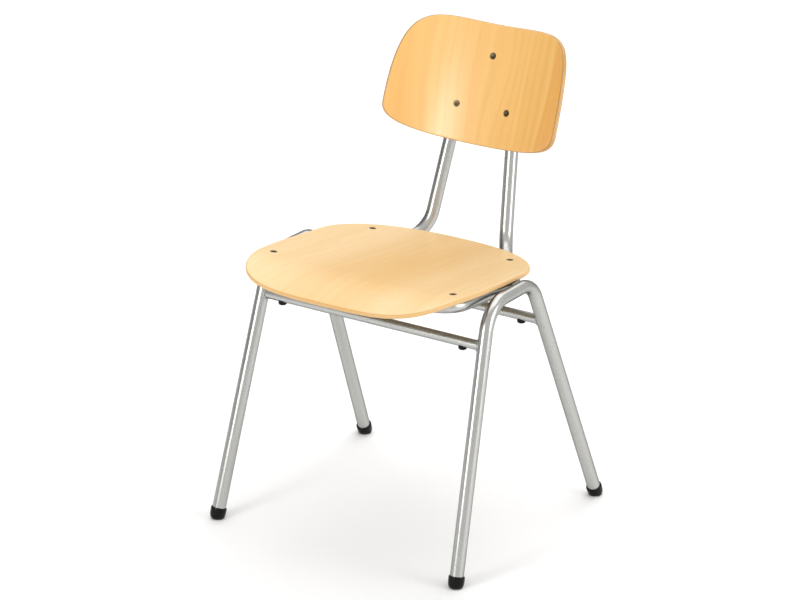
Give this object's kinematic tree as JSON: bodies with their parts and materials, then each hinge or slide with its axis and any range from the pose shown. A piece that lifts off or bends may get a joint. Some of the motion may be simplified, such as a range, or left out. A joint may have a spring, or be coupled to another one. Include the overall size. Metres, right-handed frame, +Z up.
{
  "type": "stacking chair",
  "caption": "Stacking chair with a moulded plywood seat and backrest on a bent steel tube frame, with capped feet and stacking bumpers.",
  "frame": {"origin": "bottom centre of the chair's bounding box, on the floor", "axes": "+Z up, +X to the sitter's left, -Y the way the chair faces"},
  "size_m": [0.4908, 0.5248, 0.7685],
  "materials": {
    "frame_paint": "silver metallic powder coat, satin",
    "seat_plywood": "pale beech veneer, clear satin lacquer, layered edges",
    "back_plywood": "warm beech veneer, clear satin lacquer, layered edges",
    "black_plastic": "moulded black polypropylene, slight sheen",
    "zinc_steel": "passivated zinc plate"
  },
  "bodies": {
    "root": {"left_leg_frame": "frame_paint", "right_leg_frame": "frame_paint", "front_cross_tube": "frame_paint", "rear_cross_tube": "frame_paint", "seat_and_back_tube": "frame_paint", "seat_shell": "seat_plywood", "backrest_shell": "back_plywood", "left_front_foot_cap": "black_plastic", "left_rear_foot_cap": "black_plastic", "right_front_foot_cap": "black_plastic", "right_rear_foot_cap": "black_plastic", "left_front_stacking_bumper": "black_plastic", "right_front_stacking_bumper": "black_plastic", "left_rear_stacking_bumper": "black_plastic", "right_rear_stacking_bumper": "black_plastic", "left_front_seat_bolt": "zinc_steel", "right_front_seat_bolt": "zinc_steel", "left_rear_seat_bolt": "zinc_steel", "right_rear_seat_bolt": "zinc_steel", "top_back_bolt": "zinc_steel", "left_back_bolt": "zinc_steel", "right_back_bolt": "zinc_steel", "left_front_seat_insert": "zinc_steel", "right_front_seat_insert": "zinc_steel", "left_rear_seat_insert": "zinc_steel", "right_rear_seat_insert": "zinc_steel", "top_back_insert": "zinc_steel", "left_back_insert": "zinc_steel", "right_back_insert": "zinc_steel"}
  },
  "joints": []
}
